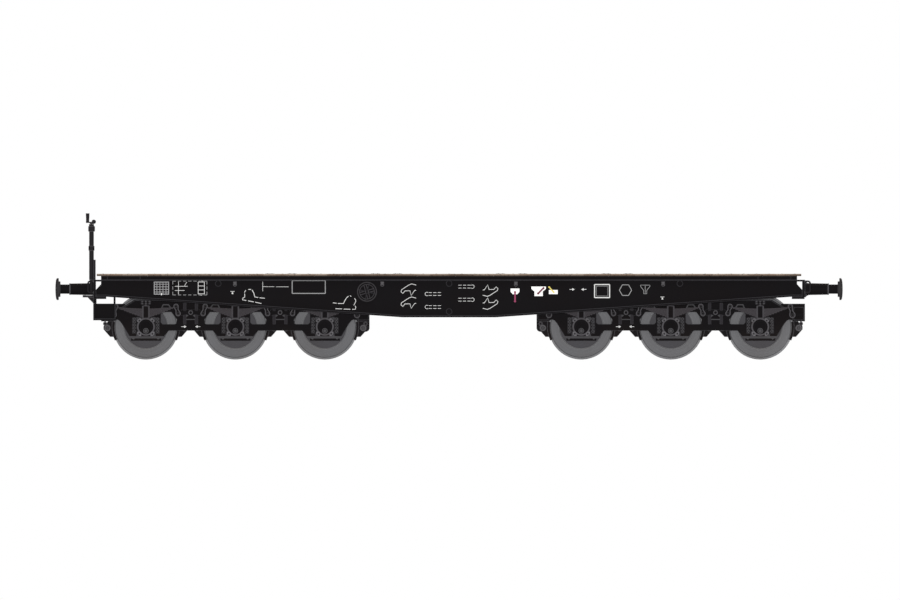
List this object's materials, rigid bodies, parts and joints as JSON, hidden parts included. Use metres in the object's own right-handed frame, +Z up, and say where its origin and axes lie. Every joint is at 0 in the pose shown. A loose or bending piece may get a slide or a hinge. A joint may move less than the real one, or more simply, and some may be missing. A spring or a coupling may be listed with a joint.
{
  "type": "heavy flat wagon",
  "caption": "Rail flat wagon for heavy loads: timber floor on fishbelly side sills, three-axle plate-frame bogies, side buffers, draw hooks and an end hand brake.",
  "frame": {"origin": "bottom centre of the bounding box: midway between the buffer faces, on the wagon's middle line, at the tips of the wheel flanges", "axes": "+X along the track, away from the hand brake; +Y across, away from the side with the crank; +Z up"},
  "size_m": [13.2, 3.1, 2.4518],
  "materials": {
    "frame_black": "black paint, dull",
    "bearer_black": "black paint, dull",
    "floor_timber": "weathered bare timber",
    "fitting_steel": "dark grey paint",
    "fitting_black": "black paint",
    "buffer_steel": "dark grey, worn",
    "sign_enamel": "white enamel",
    "brake_black": "black paint",
    "bogie_black": "black paint, dull",
    "axle_box_iron": "black painted casting",
    "spring_steel": "dark grey paint",
    "brake_iron": "bare casting, sooty",
    "wheel_steel": "grey rolled steel",
    "axle_steel": "dark forged steel"
  },
  "bodies": {
    "underframe": {"side_sill_near": "frame_black", "side_sill_far": "frame_black", "centre_sills": "frame_black", "cross_bearers": "frame_black", "body_bolsters": "frame_black", "headstock_brake_end": "frame_black", "headstock_plain_end": "frame_black", "floor_bearers": "bearer_black", "floor_planks": "floor_timber", "lashing_plates": "fitting_steel", "buffer_housings": "frame_black", "buffer_heads": "buffer_steel", "draw_hooks": "fitting_steel", "grab_rails": "fitting_black", "hand_brake_column": "fitting_black", "hand_brake_crank": "fitting_black", "end_steps": "fitting_black", "side_hand_wheels": "fitting_black", "rope_hooks": "fitting_steel", "control_levers": "sign_enamel", "note_holders": "sign_enamel", "brake_cylinder": "brake_black", "air_reservoirs": "brake_black", "brake_pipe": "brake_black", "brake_rigging": "brake_black"},
    "bogie_a": {"bogie_a_side_frames": "bogie_black", "bogie_a_cross_beams": "bogie_black", "bogie_a_axle_boxes": "axle_box_iron", "bogie_a_springs": "spring_steel", "bogie_a_spring_links": "spring_steel", "bogie_a_brake_gear": "brake_iron"},
    "wheelset_a1": {"axle_a1": "axle_steel", "wheels_a1": "wheel_steel"},
    "wheelset_a2": {"axle_a2": "axle_steel", "wheels_a2": "wheel_steel"},
    "wheelset_a3": {"axle_a3": "axle_steel", "wheels_a3": "wheel_steel"},
    "bogie_b": {"bogie_b_side_frames": "bogie_black", "bogie_b_cross_beams": "bogie_black", "bogie_b_axle_boxes": "axle_box_iron", "bogie_b_springs": "spring_steel", "bogie_b_spring_links": "spring_steel", "bogie_b_brake_gear": "brake_iron"},
    "wheelset_b1": {"axle_b1": "axle_steel", "wheels_b1": "wheel_steel"},
    "wheelset_b2": {"axle_b2": "axle_steel", "wheels_b2": "wheel_steel"},
    "wheelset_b3": {"axle_b3": "axle_steel", "wheels_b3": "wheel_steel"}
  },
  "joints": [
    {"name": "bogie_a_swivel", "type": "hinge", "parent": "underframe", "child": "bogie_a", "pos_m": [-3.583, 0, 1], "axis": [0, 0, 1], "range_deg": [-5, 5]},
    {"name": "wheelset_a1_turn", "type": "hinge", "parent": "bogie_a", "child": "wheelset_a1", "pos_m": [-5.083, 0, 0.55], "axis": [0, 1, 0], "continuous": true},
    {"name": "wheelset_a2_turn", "type": "hinge", "parent": "bogie_a", "child": "wheelset_a2", "pos_m": [-3.583, 0, 0.55], "axis": [0, 1, 0], "continuous": true},
    {"name": "wheelset_a3_turn", "type": "hinge", "parent": "bogie_a", "child": "wheelset_a3", "pos_m": [-2.083, 0, 0.55], "axis": [0, 1, 0], "continuous": true},
    {"name": "bogie_b_swivel", "type": "hinge", "parent": "underframe", "child": "bogie_b", "pos_m": [3.717, 0, 1], "axis": [0, 0, 1], "range_deg": [-5, 5]},
    {"name": "wheelset_b1_turn", "type": "hinge", "parent": "bogie_b", "child": "wheelset_b1", "pos_m": [2.217, 0, 0.55], "axis": [0, 1, 0], "continuous": true},
    {"name": "wheelset_b2_turn", "type": "hinge", "parent": "bogie_b", "child": "wheelset_b2", "pos_m": [3.717, 0, 0.55], "axis": [0, 1, 0], "continuous": true},
    {"name": "wheelset_b3_turn", "type": "hinge", "parent": "bogie_b", "child": "wheelset_b3", "pos_m": [5.217, 0, 0.55], "axis": [0, 1, 0], "continuous": true}
  ]
}
